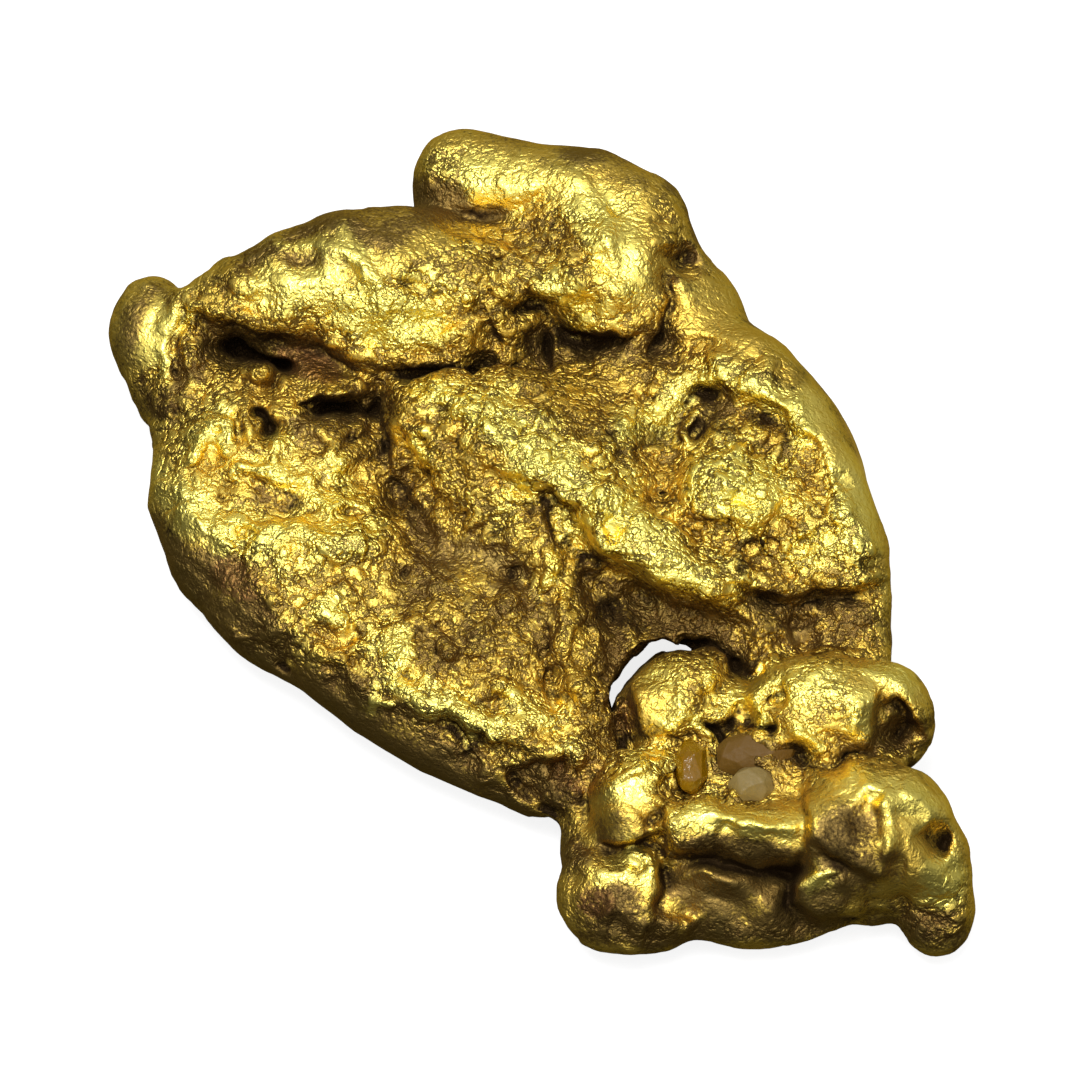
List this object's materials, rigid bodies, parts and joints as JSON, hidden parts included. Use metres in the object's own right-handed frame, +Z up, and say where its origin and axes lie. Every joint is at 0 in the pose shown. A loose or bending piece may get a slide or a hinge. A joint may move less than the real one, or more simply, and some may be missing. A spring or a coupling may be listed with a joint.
{
  "type": "gold nugget",
  "caption": "Native gold nugget with a broad lobed end, a knobbly small end, a narrow slit between them and quartz grains in a hollow.",
  "frame": {"origin": "under the middle of the nugget's box, in the plane it rests on", "axes": "+Z up from the table; +Y away from the small knobbly end; +X towards the smooth right rim"},
  "size_m": [0.0171, 0.0174, 0.0047],
  "materials": {
    "gold": "worn native gold with brown tarnish in the folds",
    "pale_quartz": "cloudy, see-through",
    "brown_quartz": "smoky, see-through",
    "amber_quartz": "iron-stained, see-through"
  },
  "bodies": {
    "root": {"nugget": "gold", "pale_quartz_grain": "pale_quartz", "brown_quartz_grain": "brown_quartz", "amber_quartz_grain": "amber_quartz"}
  },
  "joints": []
}
